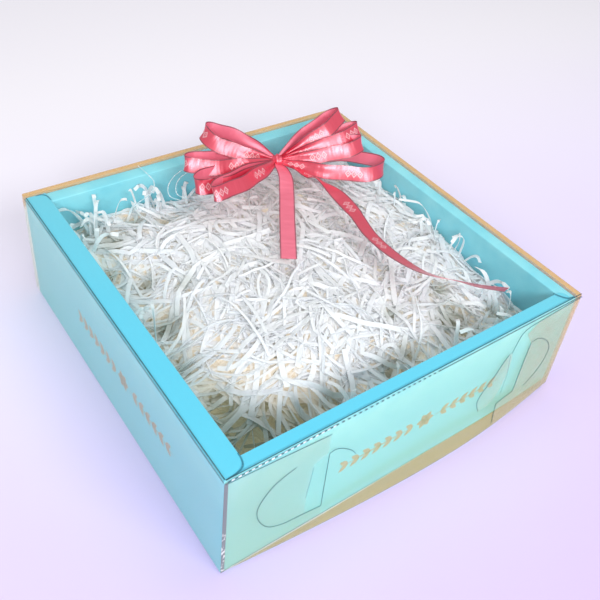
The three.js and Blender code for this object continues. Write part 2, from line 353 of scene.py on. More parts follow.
# Rim panels: the top boards of the left and front walls run on over their neighbours' ends,
# where each is cut round. They are the same board, 0.4 mm thick, tucked and glued.

BOARD = 0.0004
PANEL_INSET = 0.0009
LEFT_END_ROUND = 0.0085
FRONT_END = 0.1455
FRONT_END_ROUND = 0.0045


def rim_left():
    """The inner edge is straight at the rim's width, and over the front rim it turns out to
    the corner in a quarter of an ellipse."""
    outer = -HALF + PANEL_INSET
    sweep = 1 - np.cos(np.linspace(0, math.pi / 2, 9))
    straight = np.linspace(INNER_Y[0], HALF - PANEL_INSET, 16)
    along = np.concatenate([outer + LEFT_END_ROUND * sweep, straight])
    into = np.clip((along - outer) / LEFT_END_ROUND, 0, 1)
    inner = -HALF + 0.003 + (RIM_LEFT - 0.004) * np.sqrt(1 - (1 - into) ** 2)
    return level_board(outer, inner, along, HEIGHT + 2 * BOARD, BOARD)


def rim_front():
    """For each place along X the panel runs from the outer fold to the inner edge, and its
    depth shrinks over the end by the root of one minus the square of the way into it."""
    round_start = FRONT_END - FRONT_END_ROUND
    sweep = round_start + FRONT_END_ROUND * np.sin(np.linspace(0, math.pi / 2, 9))
    along = np.concatenate([np.linspace(-HALF + 0.006, round_start, 20), sweep[1:]])
    into = np.clip((along - round_start) / FRONT_END_ROUND, 0, 1)
    depth = (RIM_FRONT - 0.0016) * (0.25 + 0.75 * np.sqrt(1 - into**2))
    y = (-HALF + PANEL_INSET) + depth[:, None] * np.linspace(0, 1, 9)
    x = np.broadcast_to(along[:, None], y.shape)
    upper = np.stack([x, y, np.full_like(x, HEIGHT + BOARD)], -1)
    return upper[None], upper[None] - np.array([0, 0, BOARD])


for name, shape in (("rim_panel_left", rim_left), ("rim_panel_front", rim_front)):
    panel = closed_sheets(name, *shape(), board)
    placed(panel, "tray")


def unit(vectors):
    """The vectors, each divided by its length."""
    return vectors / np.linalg.norm(vectors, axis=-1, keepdims=True)


def smooth_route(points, count):
    """A curve through the points: between two of them the cubic whose slopes there are half
    the way between their neighbours, with the end points' missing neighbours mirrored."""
    p = np.array(points, float)
    p = np.concatenate([[2 * p[0] - p[1]], p, [2 * p[-1] - p[-2]]])
    place = np.linspace(0, len(points) - 1, count)
    i = np.minimum(place.astype(int), len(points) - 2)
    t = (place - i)[:, None]
    before, start, end, after = p[i], p[i + 1], p[i + 2], p[i + 3]
    slope = (end - before) / 2
    slope_end = (after - start) / 2
    bend = 3 * (end - start) - 2 * slope - slope_end
    twist = 2 * (start - end) + slope + slope_end
    return start + slope * t + bend * t**2 + twist * t**3


MILLIMETRE = 0.001
UP = np.array([0.0, 0.0, 1.0])
FORWARD = np.array([0.0, -1.0, 0.0])
LEFTWARD = np.array([-1.0, 0.0, 0.0])


def level_route(spots, height):
    """A smooth route through spots in plan, at one height; the spots are in millimetres."""
    flat = smooth_route(spots, 40) * MILLIMETRE
    return np.concatenate([flat, np.full((40, 1), height)], 1)


def leaned(middle, turn):
    """Across a path: level and square to it, then turned about it by that angle."""
    along = unit(np.gradient(middle, axis=-2))
    level = unit(np.cross(UP, along))
    return level * np.cos(turn)[..., None] + np.cross(along, level) * np.sin(turn)[..., None]


def carried(middle, across, widths, thickness, columns=2):
    """The top and underside of a flat section carried along a path: from each point of the
    path it reaches half its width either way along across, square to the path, and half its
    thickness along the path crossed with across."""
    along = unit(np.gradient(middle, axis=-2))
    level = unit(across - (across * along).sum(-1, keepdims=True) * along)
    normal = np.cross(along, level)
    v = np.linspace(-0.5, 0.5, columns)
    reach = (np.asarray(widths)[..., None] * v)[..., None]
    centre = middle[..., None, :] + level[..., None, :] * reach
    half = normal[..., None, :] * (thickness / 2)
    return centre + half, centre - half


def bead(path, facing, width, taper=0.0):
    """A flat bead along a path, that lies square to facing and thins to its ends by taper."""
    tangent = unit(np.gradient(path, axis=0))
    ends = np.sin(math.pi * np.linspace(0.02, 0.98, len(path))) ** 0.5
    widths = width * (1 - taper + taper * ends)
    top, under = carried(path, np.cross(facing, tangent), widths, BEAD_THICK)
    return top[None], under[None]


def joined(name, sheets, finish, node):
    """Sheets of any length as one piece."""
    parts = [closed_sheets(name, top, under, finish) for top, under in sheets]
    together = bmesh.new()
    for part in parts:
        together.from_mesh(part.data)
    mesh = parts[0].data
    together.to_mesh(mesh)
    together.free()
    for part in parts[1:]:
        bpy.data.meshes.remove(part.data)
    placed(parts[0], node)
    return parts[0]


# The seams where a rim panel laps over its neighbour, and the line where the front wall folds under
# the carton: dark beads laid on as painted shade, for the shadow in the gap under a panel's cut edge
# and the contact shadow along the carton's foot.

BEAD_THICK = 0.0002
SEAM_WIDE = 0.0011
SEAM_HIGH = HEIGHT + 2 * BOARD + 0.00005
FOOT_WIDE = 0.0010
FOOT_SHADE_LINE = ((-0.1488, -0.15005, 0.0006), (0.1488, -0.15005, 0.0006))
SEAMS = (
    ((-134.0, -137.6), (-134.3, -142.3), (-136.0, -146.4), (-140.0, -148.6), (-148.6, -149.6)),
    ((136.6, -138.6), (137.6, -140.0), (140.0, -144.6), (143.2, -148.0), (148.8, -149.2)),
    ((-142.0, 148.6), (-137.5, 148.2), (-134.6, 145.0), (-133.6, 138.4)),
)


def seam_shade_paint():
    """Painted shade for the gap of a seam: deep teal, lighter where it closes."""
    finish = Finish("seam_shade_paint", {"Roughness": 0.8})
    finish.colour(finish.noise(160) + 0.5, (0.005, 0.12, 0.20, 1), (0.03, 0.30, 0.42, 1))
    return finish


# Painted shade: dark beads in the lapped seams and along the carton's foot.
seams = [bead(level_route(spots, SEAM_HIGH), UP, SEAM_WIDE, taper=0.6) for spots in SEAMS]
seams.append(bead(np.linspace(*FOOT_SHADE_LINE, 60), FORWARD, FOOT_WIDE))
joined("rim_seam_shades", seams, seam_shade_paint(), "tray")

# Printed ornament: a garland of leaves in rose gold foil, stamped on the front wall and the
# left wall. It is as thin as foil, and the film cover lies over it.

FOIL = 0.00012
FOIL_SUNK = 0.0001
LEAF_LONG = 0.0090
LEAF_WIDE = 0.0042
LEAF_PITCH = 0.0094
LEAF_LIFT = 0.0026
LEAF_TILT = 36
SPRIGS = ((-1, 7, -0.0150), (1, 6, 0.0180))
PETALS = 6
PETAL_OUT = 0.0040
PETAL_LONG = 0.0080
PETAL_WIDE = 0.0050
STEM_MIDDLES = ((-0.043, 0), (0.041, 0))
STEM_LONG = 0.066
STEM_WIDE = 0.0012
GARLANDS = (("front", 0.0120, 0.0445), ("left", 0.0180, 0.0500))


def leaves(centres, headings, length, width):
    """Pointed leaves in a plane: the width goes by the sine of the way along, and the middle
    line is straight. Returns the grids as x and z."""
    t = np.linspace(0.02, 0.98, 9)
    v = np.linspace(-0.5, 0.5, 3)
    u = (t[:, None] - 0.5) * length + 0 * v
    w = width * np.sin(math.pi * t)[:, None] * v
    c = np.cos(headings)[:, None, None]
    s = np.sin(headings)[:, None, None]
    x = centres[:, 0, None, None] + u * c - w * s
    z = centres[:, 1, None, None] + u * s + w * c
    return np.stack([x, z], -1)


def garland(middle, height):
    """Two sprigs of paired leaves on a line along the wall, either side of a rosette whose
    petals stand evenly round a ring."""
    centres = []
    headings = []
    for side, pairs, start in SPRIGS:
        for i in range(pairs):
            for lift in (-1, 1):
                centres.append((start + side * LEAF_PITCH * i, lift * LEAF_LIFT))
                headings.append(math.radians(lift * side * LEAF_TILT))
    big = leaves(np.array(centres), np.array(headings), LEAF_LONG, LEAF_WIDE)
    petal = np.radians(np.arange(PETALS) * (360 / PETALS))
    ring = PETAL_OUT * np.stack([np.cos(petal), np.sin(petal)], -1)
    rosette = leaves(ring, petal, PETAL_LONG, PETAL_WIDE)
    stems = leaves(np.array(STEM_MIDDLES), np.zeros(2), STEM_LONG, STEM_WIDE)
    return np.concatenate([big, rosette, stems]) + np.array([middle, height])


def foil_print(flat, wall):
    """Lays the flat grids on a wall, as x and z on the front or y and z on the left."""
    out = np.full(flat.shape[:3], -HALF)
    parts = [flat[..., 0], out] if wall == "front" else [out, -flat[..., 0]]
    middle = np.stack(parts + [flat[..., 1]], -1)
    outward = FORWARD if wall == "front" else LEFTWARD
    return middle + FOIL * outward, middle - FOIL_SUNK * outward


def rose_gold():
    """Stamped foil: metal that is thin in places and lets the board through."""
    finish = Finish("rose_gold_foil", {"Metallic": 0.2})
    wear = finish.noise(700)
    finish.colour(wear + 0.55, (0.37, 0.26, 0.18, 1), (0.47, 0.32, 0.22, 1))
    finish.varies("Roughness", 0.42 + 0.3 * wear)
    finish.bump(wear, 0.00003)
    return finish


foil = rose_gold()
for wall, middle, height in GARLANDS:
    motif = closed_sheets("foil_" + wall, *foil_print(garland(middle, height), wall), foil)
    placed(motif, "tray")

# Heap of shredded paper, the part that the loose strips hide: a warm shaded mound that keeps
# the shape of the heap a little below its top.

HEAP_FLOOR = 0.0035
HEAP_EDGE = 0.064
DOME_HIGH = 0.018
DOME_WIDE = 0.330
LUMPS_HIGH = 0.0024
HOLLOW_DEEP = 0.009
HOLLOWS = (
    (78, -101, 15), (88, -75, 8), (118, -112, 11), (36, -77, 6), (27, -110, 8),
    (8, -114, 9), (-119, 122, 10), (-103, 102, 13), (-77, 117, 9), (-56, 103, 7),
    (-99, 49, 8), (-123, 68, 9), (-106, 4, 12), (-80, 27, 6), (-117, -33, 10),
    (-109, -69, 13), (-65, -110, 10), (-39, -110, 8),
)
CORE_DROP = 0.008
CORE_HOLLOW = 0.008
CORE_RELIEF = 0.0009
WALL_GAP = 0.0006


def smooth(low, high, x):
    """0 at low, 1 at high and 3tt - 2ttt between; low may be the larger."""
    t = np.clip((x - low) / (high - low), 0, 1)
    return t * t * (3 - 2 * t)


def heap_height(x, y):
    """A dome highest a little behind the middle, with gentle lumps, sunk round the front left
    corner, along the left and the front wall, and along part of the back wall."""
    dome = np.cos(x / DOME_WIDE * math.pi) * np.cos((y - 0.010) / DOME_WIDE * math.pi)
    corner = 0.010 * smooth(0.125, 0.010, np.hypot(x - INNER_X[0], y - INNER_Y[0]))
    left = 0.013 * smooth(0.075, 0.025, x - INNER_X[0]) * smooth(0.085, 0.030, y)
    front = 0.012 * smooth(0.080, 0.030, y - INNER_Y[0]) * smooth(0.080, -0.010, x)
    dip = 0.013 * np.exp(-(((x + 0.030) / 0.032) ** 2)) * smooth(0.070, INNER_Y[1], y)
    right = 0.007 * smooth(0.045, 0.010, INNER_X[1] - x) * smooth(-0.030, -0.080, y)
    lumps = LUMPS_HIGH * np.sin(x / 0.017 + 1.3 * np.sin(y / 0.029)) * np.cos(y / 0.021 - 0.6)
    return HEAP_EDGE + DOME_HIGH * dome - corner - left - front - dip - right + lumps


def hollow(x, y):
    """0 to 1 in the gaps between handfuls: the strongest of a bell round each."""
    share = np.zeros_like(x)
    for middle_x, middle_y, radius in np.array(HOLLOWS) * MILLIMETRE:
        away = np.hypot(x - middle_x, y - middle_y) / radius
        share = np.maximum(share, np.exp(-(away**2)))
    return share


def heap_core():
    """A closed block whose top is the heap's height less the drop, deeper in the sunken front
    left corner, with a fine uneven relief made of three crossed waves."""
    x, y = np.meshgrid(
        np.linspace(INNER_X[0] + WALL_GAP, INNER_X[1] - WALL_GAP, 120),
        np.linspace(INNER_Y[0] + WALL_GAP, INNER_Y[1] - WALL_GAP, 120),
        indexing="ij",
    )
    relief = np.sin(x / 0.0031 + 2 * np.sin(y / 0.011))
    relief = relief + np.sin(y / 0.0027 + 2 * np.sin(x / 0.013)) + np.sin((x + y) / 0.0042)
    corner = smooth(0.120, 0.040, np.hypot(x - INNER_X[0], y - INNER_Y[0]))
    z = heap_height(x, y) - CORE_DROP - CORE_HOLLOW * corner + CORE_RELIEF * relief
    z = z - HOLLOW_DEEP * hollow(x, y) * (1 - corner)
    top = np.stack([x, y, z], -1)
    under = np.stack([x, y, np.full_like(x, HEAP_FLOOR)], -1)
    return top[None], under[None]


def shaded_paper():
    """What shows between the loose strips: paper in a painted warm shade, greyish higher up and olive
    low down, in short streaks, with a faint painted glow low down for the light that tissue passes on."""
    finish = Finish("shaded_paper", {"Roughness": 0.9, "Emission Strength": 0.10})
    (z,) = finish.axes("z")
    bands = {"wave_type": "BANDS", "bands_direction": "DIAGONAL"}
    waves = {"Vector": finish.place, "Scale": 60.0, "Distortion": 22.0}
    crush = {"Detail": 2.0, "Detail Scale": 1.2}
    streak = finish.node("ShaderNodeTexWave", bands, waves | crush)
    light = finish.blend(0.5 + finish.noise(45), (0.35, 0.34, 0.29, 1), (0.46, 0.44, 0.39, 1))
    light = finish.blend(0.6 * streak, light, (0.64, 0.62, 0.58, 1))
    deep = finish.blend(0.5 * streak, (0.50, 0.45, 0.28, 1), (0.62, 0.58, 0.42, 1))
    # Painted shade: the colour goes from greyish up high to olive low down.
    high = z.rises(0.040, 0.062)
    finish.colour(high, deep, light)
    # Painted glow: emission low down stands in for light passed on through the tissue.
    finish.varies("Emission Color", finish.blend(high, (1.0, 0.92, 0.58, 1), (0.0, 0.0, 0.0, 1)))
    finish.bump(streak, 0.0006)
    return finish


core = closed_sheets("filler_core", *heap_core(), shaded_paper())
placed(core, "shred")

# Loose strips: white tissue cut 1.6 to 4.5 mm wide, poured in by the handful. Each lies in an
# arc of its own, at its own depth, and leans and twists on the way. Five kinds lie mixed: fine
# and wide ones in easy arcs, tight curls, creased ones, and ones that stand at the walls.

STRIP_THICK = 0.00025
STANDING_WIDE = 0.0030
STANDING_RISE = (0.012, 0.028)
STANDING_DRIFT = 0.022
STANDING_BEND = 0.010
STANDING_ROOT = 0.010
STRIP_FLOOR = 0.006
STRIP_CEILING = 0.0950
CEILING_SOFT = 0.0015
WALL_SOFT = 0.0022
STRIP_TOP = 0.0018
STRIP_SHADE = 0.0048
STRIP_SINK = 0.7
STRIP_SLOPE = 0.07
STRIP_TWIST = 0.9
STRIP_RIPPLE = 0.0006
random = np.random.default_rng(20261130)


def held_in(p, low, high):
    """Turns back what runs over low or high: the distance to the wall becomes the root of its
    square plus the square of the wall's softness."""
    p = high - np.sqrt((high - p) ** 2 + WALL_SOFT**2)
    return low + np.sqrt((p - low) ** 2 + WALL_SOFT**2)


def under_ceiling(z):
    """Presses what runs over the ceiling down under it, in the same way as at the walls."""
    return STRIP_CEILING - np.sqrt(np.maximum(STRIP_CEILING - z, 0) ** 2 + CEILING_SOFT**2)


def scattered(count):
    """Places spread evenly over the cavity: one at random in each cell of a square grid."""
    cells = math.ceil(math.sqrt(count))
    cell = random.permutation(cells * cells)[:count]
    u = (cell % cells + random.random(count)) / cells
    v = (cell // cells + random.random(count)) / cells
    x = INNER_X[0] + (INNER_X[1] - INNER_X[0]) * u
    y = INNER_Y[0] + (INNER_Y[1] - INNER_Y[0]) * v
    return x, y


def kept_strips(middle):
    """Which strips stay: fewer of those that reach into the sunken front left corner or cross
    a hollow, and a few less along the left and the front wall, where the heap is looser."""
    corner = np.hypot(middle[..., 0] - INNER_X[0], middle[..., 1] - INNER_Y[0]).min(1)
    edge = np.minimum(middle[..., 0] - INNER_X[0], middle[..., 1] - INNER_Y[0]).mean(1)
    share = 0.06 + 0.94 * smooth(0.025, 0.120, corner)
    share = share * (0.50 + 0.50 * smooth(0.010, 0.040, edge))
    share = share * (1 - 0.80 * hollow(middle[..., 0], middle[..., 1]).max(1) ** 2)
    return random.random(len(middle)) < share


HANDFULS = 90
HANDFUL_TURN = 0.55
handful_x = random.uniform(*INNER_X, HANDFULS)
handful_y = random.uniform(*INNER_Y, HANDFULS)
handful_heading = random.uniform(0, math.pi, HANDFULS)
handful_bend = random.normal(0, 0.5, HANDFULS)


def poured(x, y):
    """The heading and the bend that strips share with the handful poured nearest to them,
    each with a spread of its own."""
    nearest = np.hypot(x[:, None] - handful_x, y[:, None] - handful_y).argmin(1)
    heading = handful_heading[nearest] + random.normal(0, HANDFUL_TURN, len(x))
    heading = heading + math.pi * (random.random(len(x)) < 0.5)
    return heading[:, None], handful_bend[nearest][:, None]


def put_strips(name, middle, across, widths, shade, gap):
    """Makes strips one piece, in which each has a tone of its own."""
    top, under = carried(middle, across, widths, STRIP_THICK)
    tone = random.random((len(middle), 1, 1))
    values = {"shade": shade[..., None], "gap": gap[..., None], "tone": tone}
    piece = closed_sheets(name, top, under, tissue, values)
    placed(piece, "shred")


def lying_strips(name, count, stations, length, wide, turning, hop, lean, layer):
    """Strips whose heading in plan is a chance start plus turning, a function of the way along
    from -0.5 to 0.5. Their height is the heap's plus the layer that each lies in, a hop that
    is a half wave, a slope and a fine ripple."""
    x, y = scattered(count)
    t = np.linspace(-0.5, 0.5, stations)
    long = random.uniform(*length, (count, 1))
    heading, bend = poured(x, y)
    heading = heading + bend * t + turning(t, count)
    step = long / (stations - 1)
    px = np.cumsum(np.cos(heading) * step, 1)
    py = np.cumsum(np.sin(heading) * step, 1)
    px = held_in(px - px.mean(1, keepdims=True) + x[:, None], *INNER_X)
    py = held_in(py - py.mean(1, keepdims=True) + y[:, None], *INNER_Y)
    deep = random.uniform(*layer, (count, 1))
    lift = np.abs(random.normal(0, hop, (count, 1))) * np.cos(math.pi * t)
    slope = random.normal(0, STRIP_SLOPE, (count, 1)) * long * t
    turns = random.uniform(1, 3, (count, 1)) * t + deep * 400
    ripple = STRIP_RIPPLE * np.sin(2 * math.pi * turns)
    gap = hollow(px, py)
    ground = heap_height(px, py) - STRIP_SINK * HOLLOW_DEEP * gap
    pz = under_ceiling(np.maximum(ground + deep + lift + slope + ripple, STRIP_FLOOR))
    middle = np.stack([px, py, pz], -1)
    turn = random.normal(0, lean, (count, 1)) + random.normal(0, STRIP_TWIST, (count, 1)) * t
    across = leaned(middle, turn)
    widths = random.uniform(*wide, (count, 1)) + 0 * t
    keep = kept_strips(middle)
    shade = np.clip((ground + STRIP_TOP - pz) / STRIP_SHADE, 0, 1)
    put_strips(name, middle[keep], across[keep], widths[keep], shade[keep], gap[keep])


def white_tissue():
    """White tissue with a cool light, each strip with a tone of its own and a fine crush along it. A
    painted shade makes a strip beige the deeper it lies, and a painted warm glow, from emission,
    stands in for the light that tissue passes on from strip to strip to the deeper ones. Painted shade
    and bounce light tint the strips near the walls a greyish turquoise, and painted bounce light tints
    those near the bow coral. Low in the box and in its gaps, where little light comes, a painted shade
    makes them olive grey."""
    finish = Finish(
        "white_tissue",
        {
            "Roughness": 0.62,
            "Specular IOR Level": 0.3,
            "Emission Strength": 0.22,
            "Subsurface Weight": 0.5,
            "Subsurface Radius": (1.0, 1.0, 0.9),
            "Subsurface Scale": 0.0025,
        },
    )
    x, y, z = finish.axes("xyz")
    tone = finish.own("tone")
    shade = finish.own("shade")
    crush = finish.noise(500)
    white = finish.blend(tone, (0.88, 0.89, 0.95, 1), (0.97, 0.97, 0.99, 1))
    warm = finish.blend(tone, (0.63, 0.56, 0.47, 1), (0.80, 0.75, 0.67, 1))
    # Painted shade: beige by how deep a strip lies.
    deep = shade.rises(0.05, 0.9)
    low = finish.own("gap").larger(z.rises(0.064, 0.042))
    # Painted shade and bounce light: greyish turquoise near the walls; painted coral bounce near the
    # bow.
    wall = (x - INNER_X[0]).smaller(y - INNER_Y[0])
    bounce = 0.60 * wall.rises(0.040, 0.004)
    pale = finish.blend(deep + 0.2 * crush, white, warm)
    cast = finish.blend(bounce, pale, (0.52, 0.74, 0.74, 1))
    from_bow = abs(x - 0.030) + abs(y - 0.085)
    cast = finish.blend(0.30 * from_bow.rises(0.120, 0.030), cast, (1.0, 0.82, 0.84, 1))
    # Painted shade: olive grey low in the box and in its gaps.
    finish.colour(0.85 * low, cast, (0.33, 0.36, 0.30, 1))
    # Painted glow: the deeper strips emit a faint warm light.
    glow = finish.blend(deep * (1 - low), (0.0, 0.0, 0.0, 1), (1.0, 0.88, 0.73, 1))
    finish.varies("Emission Color", glow)
    finish.bump(crush, 0.0002)
    return finish


def easy_arc(t, count):
    """A steady turn of up to a radian, with one slow sway."""
    turn = random.normal(0, 0.45, (count, 1)) * t
    sway = random.normal(0, 0.13, (count, 1))
    return turn + sway * np.sin(2 * math.pi * t + random.uniform(0, 6, (count, 1)))


def tight_curl(t, count):
    """A turn of two to five radians, tighter towards one end."""
    side = np.where(random.random((count, 1)) < 0.5, -1, 1)
    turn = side * random.uniform(2.0, 5.0, (count, 1))
    return turn * (t + 0.9 * t * t * random.uniform(-1, 1, (count, 1)))


def one_crease(t, count):
    """An easy arc with one sudden bend of half a radian to two, at a chance place."""
    side = np.where(random.random((count, 1)) < 0.5, -1, 1)
    bend = side * random.uniform(0.6, 2.0, (count, 1))
    where = random.uniform(-0.25, 0.25, (count, 1))
    return easy_arc(t, count) * 0.6 + bend * smooth(-0.04, 0.04, t - where)


tissue = white_tissue()
KINDS = {
    "fine": (2500, 10, (0.040, 0.095), (0.0016, 0.0026), easy_arc, 0.0022, 0.35, (-0.008, 0.002)),
    "wide": (1450, 11, (0.040, 0.085), (0.0031, 0.0045), easy_arc, 0.0026, 0.40, (-0.009, 0.002)),
    "curled": (420, 16, (0.035, 0.065), (0.0022, 0.0034), tight_curl, 0.0030, 0.7, (-0.008, 0.001)),
    "creased": (1550, 12, (0.040, 0.075), (0.0024, 0.0038), one_crease, 0.0026, 0.45, (-0.009, 0.002)),
}
for kind, sizes in KINDS.items():
    lying_strips("strips_" + kind, *sizes)


def standing_strips(name, foot):
    """Strips that rise out of the heap against a wall: from a foot in the heap each goes up
    by a quarter wave while it leans along the wall, and bends over a little at its end."""
    count = len(foot)
    t = np.linspace(0, 1, 14)
    rise = random.uniform(*STANDING_RISE, (count, 1))
    drift = random.uniform(-STANDING_DRIFT, STANDING_DRIFT, (count, 2))
    bend = random.uniform(-STANDING_BEND, STANDING_BEND, (count, 2))
    px = foot[:, :1] + drift[:, :1] * t + bend[:, :1] * t * t
    py = foot[:, 1:] + drift[:, 1:] * t + bend[:, 1:] * t * t
    start = heap_height(foot[:, :1], foot[:, 1:]) - STANDING_ROOT
    pz = start + (rise + STANDING_ROOT) * np.sin(math.pi / 2 * np.minimum(t * 1.25, 1.2))
    middle = np.stack([held_in(px, *INNER_X), held_in(py, *INNER_Y), under_ceiling(pz)], -1)
    turn = random.uniform(0, math.pi, (count, 1)) + random.normal(0, 0.5, (count, 1)) * t
    around = np.stack([np.cos(turn), np.sin(turn), 0 * turn], -1)
    none = np.zeros((count, 1))
    put_strips(name, middle, around, STANDING_WIDE + 0 * px, none, none)


def along_line(start, end, count):
    """Chance places along a line in plan, within a reach of it."""
    share = random.random(count)
    x = start[0] + (end[0] - start[0]) * share + random.uniform(-LINE_REACH, LINE_REACH, count)
    y = start[1] + (end[1] - start[1]) * share + random.uniform(-LINE_REACH, LINE_REACH, count)
    return np.stack([x, y], -1)


LINE_REACH = 0.006
STANDING = (
    ((0.130, -0.075), (0.130, 0.060), 18),
    ((0.104, -0.086), (0.120, -0.118), 9),
    ((-0.122, 0.095), (-0.095, 0.128), 16),
    ((-0.070, 0.128), (-0.020, 0.126), 9),
    ((-0.125, -0.020), (-0.122, 0.060), 8),
    ((-0.060, -0.131), (0.090, -0.131), 14),
)
standing_strips("strips_standing", np.concatenate([along_line(*line) for line in STANDING]))

# Film cover: a lid cut and creased from one sheet of clear film 0.4 mm thick, faintly warm.
# It fits the carton at the left, stands off it at the right and the back, and its front wall
# bows out at the foot. So thin and clear a film throws no shadow to speak of.

FILM = 0.0004
FILM_TOP = 0.0976
FILM_FOOT = 0.0010
FILM_FIT = 0.0006
FILM_SLACK = 0.0060
FILM_FOLD = 0.0012
FILM_SAG = 0.00016
POLE = 0.00001
BOW_DEEP = 0.0105
BOW_PEAK = 0.035
BULGE = 0.004
FOOT_SEEN = 1.75
MARGIN_FOOT = 0.0850
MARGIN_FRONT = -0.1396


def front_bow(x, z):
    """How far the front wall stands out: a quarter wave either side of the peak, that dies
    away upwards by the power of 1.3."""
    reach = np.where(x < BOW_PEAK, BOW_PEAK + HALF, HALF + 0.008 - BOW_PEAK)
    across = np.cos(np.minimum(np.abs(x - BOW_PEAK) / reach, 1) * math.pi / 2)
    return BOW_DEEP * across * np.clip(1 - z / FILM_TOP, 0, 1) ** 1.3


def right_bulge(y, z):
    """How far the right wall swells: half a wave along it times half a wave up it."""
    along = np.cos(np.minimum(np.abs(y) / HALF, 1) * math.pi / 2)
    return BULGE * along * np.sin(math.pi * np.clip(z / FILM_TOP, 0, 1))


def bowed(x, y, z):
    """Carries points of a straight-walled lid to the bowed one: the swell fades to the left
    and the bow fades to the back."""
    to_right = (x + HALF + FILM_FIT) / (SIDE + FILM_FIT + FILM_SLACK)
    to_front = 1 - (y + HALF + FILM_FIT) / (SIDE + FILM_FIT + FILM_SLACK)
    return np.stack([x + to_right * right_bulge(y, z), y - to_front * front_bow(x, z), z], -1)


def film_shell():
    """A section carried round the square and closed over the middle: up the wall, over the
    crease, then in towards the middle, where all its points meet. The top is a little slack,
    by two crossed waves."""
    wall = np.linspace(0, 1, 22) ** 1.4 * (FILM_TOP - FILM_FOLD - FILM_FOOT) + FILM_FOOT
    stations = [(0.0, z) for z in wall[:-1]]
    for turn in np.linspace(0, math.pi / 2, 5):
        drop = FILM_FOLD * (1 - math.sin(turn))
        stations.append((FILM_FOLD * (1 - math.cos(turn)), FILM_TOP - drop))
    half = (SIDE + FILM_FIT + FILM_SLACK) / 2
    stations += [(d, FILM_TOP) for d in np.linspace(FILM_FOLD, half, 26)[1:]]
    slack = np.array([-FILM_FIT, -FILM_SLACK, -FILM_FIT, -FILM_SLACK])
    loops = []
    for inset, z in stations:
        radius = min(max(FILM_FOLD - inset, POLE), half - inset + POLE)
        x, y = rounded_square(slack + min(inset, half - 2 * POLE), radius).T
        waves = 1 + np.sin(x / 0.031 + 0.7) * np.sin(y / 0.037)
        sag = FILM_SAG * smooth(0, 0.02, inset) * waves
        loops.append(bowed(x, y, z - sag))
    points = np.stack(loops, 1)
    return points.reshape(-1, 3), grid_faces(*points.shape[:2], round_rows=True)


def clear_film():
    """Clear film: almost nothing is seen of it on top, a faint cream haze on the walls, and more at a
    slant. On the front wall the haze is yellower and a little denser, a painted reflection of warm
    light from in front. It is tan where it stands clear of the carton: at the right and the back above
    the margin's foot and before its front; and khaki on the front wall up to the carton's foot seen
    through it, a line that falls to both ends as a quarter wave."""
    finish = Finish("clear_film", {"Roughness": 0.06, "IOR": 1.9})
    x, y, z = finish.axes("xyz")
    wall = z.rises(FILM_TOP - 0.0006, FILM_TOP - 0.0014)
    front = y.rises(-HALF - 0.0001, -HALF - 0.0004)
    side = x.rises(HALF + 0.0006, HALF + 0.0010)
    back = y.rises(HALF + 0.0006, HALF + 0.0010)
    margin = z.rises(MARGIN_FOOT, MARGIN_FOOT + 0.0006)
    margin = margin.larger(y.rises(MARGIN_FRONT, MARGIN_FRONT - 0.0006))
    clear = side.larger(back) * margin
    reach = abs(x - BOW_PEAK) * (math.pi / 2 / (BOW_PEAK + HALF))
    foot_line = reach.cosine() * (BOW_DEEP * FOOT_SEEN)
    foot = front * (foot_line - z).rises(-0.0004, 0.0006)
    # Painted reflection: the front wall's haze is yellower, for warm light reflected from in front.
    walls = finish.blend(front, (0.78, 1.0, 0.70, 1), (0.76, 1.0, 0.40, 1))
    flat = {0: finish.place, 1: (6, 6, 90)}
    level = finish.node("ShaderNodeVectorMath", {"operation": "MULTIPLY"}, flat)
    streak = finish.noise(4, vector=level)
    tan = finish.blend(z.rises(0.075, 0.015), (0.80, 0.50, 0.20, 1), (0.56, 0.44, 0.11, 1))
    haze = finish.blend(clear, walls, tan)
    khaki = finish.blend(0.5 + streak, (0.50, 0.40, 0.04, 1), (0.33, 0.32, 0.02, 1))
    finish.colour(foot, haze, khaki)
    slant = finish.node("ShaderNodeLayerWeight", {}, {"Blend": 0.5}, "Facing")
    # Painted reflection: the front wall's haze is also a little denser.
    alpha = 0.012 + 0.05 * wall + 0.05 * front + 0.48 * clear + 0.42 * foot
    finish.varies("Alpha", alpha + 0.25 * (slant * slant * slant) + 0.02 * finish.noise(18))
    return finish


def merge_doubles(piece, distance):
    """Joins points that lie on each other, as at a pole."""
    shape = bmesh.new()
    shape.from_mesh(piece.data)
    bmesh.ops.remove_doubles(shape, verts=shape.verts, dist=distance)
    shape.to_mesh(piece.data)
    shape.free()


film = clear_film()
cover = put_mesh("film_cover", *film_shell(), film)
merge_doubles(cover, 3 * POLE)
wall_thickness = cover.modifiers.new("thickness", "SOLIDIFY")
wall_thickness.thickness = FILM
wall_thickness.offset = -1
cover.visible_shadow = False
placed(cover, "cover")

# Corner locks: at each end of the front and the back a flap from the side wall lies over the
# wall, and a rounded tongue goes through a slit in it. The doubled film is a little warmer,
# and the cut edges show as fine dark lines.

CUT_LINE = 0.00036
SHADE_LINE = 0.0007
LINE_OUT = 0.0003
FLAP_OUT = (0.00022, 0.00008)
FLAPS = (
    {
        "z": (1.2, 21.0, 23.0, 40.0, 68.0, 72.0, 89.4, 94.4),
        "low": (-150.4,) * 8,
        "high": (-79.0, -78.6, -91.5, -91.0, -87.5, -77.0, -75.8, -149.0),
    },
    {
        "z": (1.2, 5.0, 24.5, 26.4, 50.0, 72.0, 84.0, 91.8, 94.0),
        "low": (82.0, 82.0, 82.3, 101.1, 104.6, 108.0, 100.0, 112.0, 150.0),
        "high": (155.4, 155.4, 155.6, 155.6, 156.0, 156.0, 156.0, 156.0, 156.0),
    },
    {
        "z": (29.0, 33.0, 40.0, 47.0, 57.0, 66.5, 72.5),
        "low": (61.5, 59.4, 58.4, 61.0, 72.0, 79.0, 84.5),
        "high": (70.0, 78.0, 83.0, 86.0, 88.0, 89.0, 87.0),
    },
)
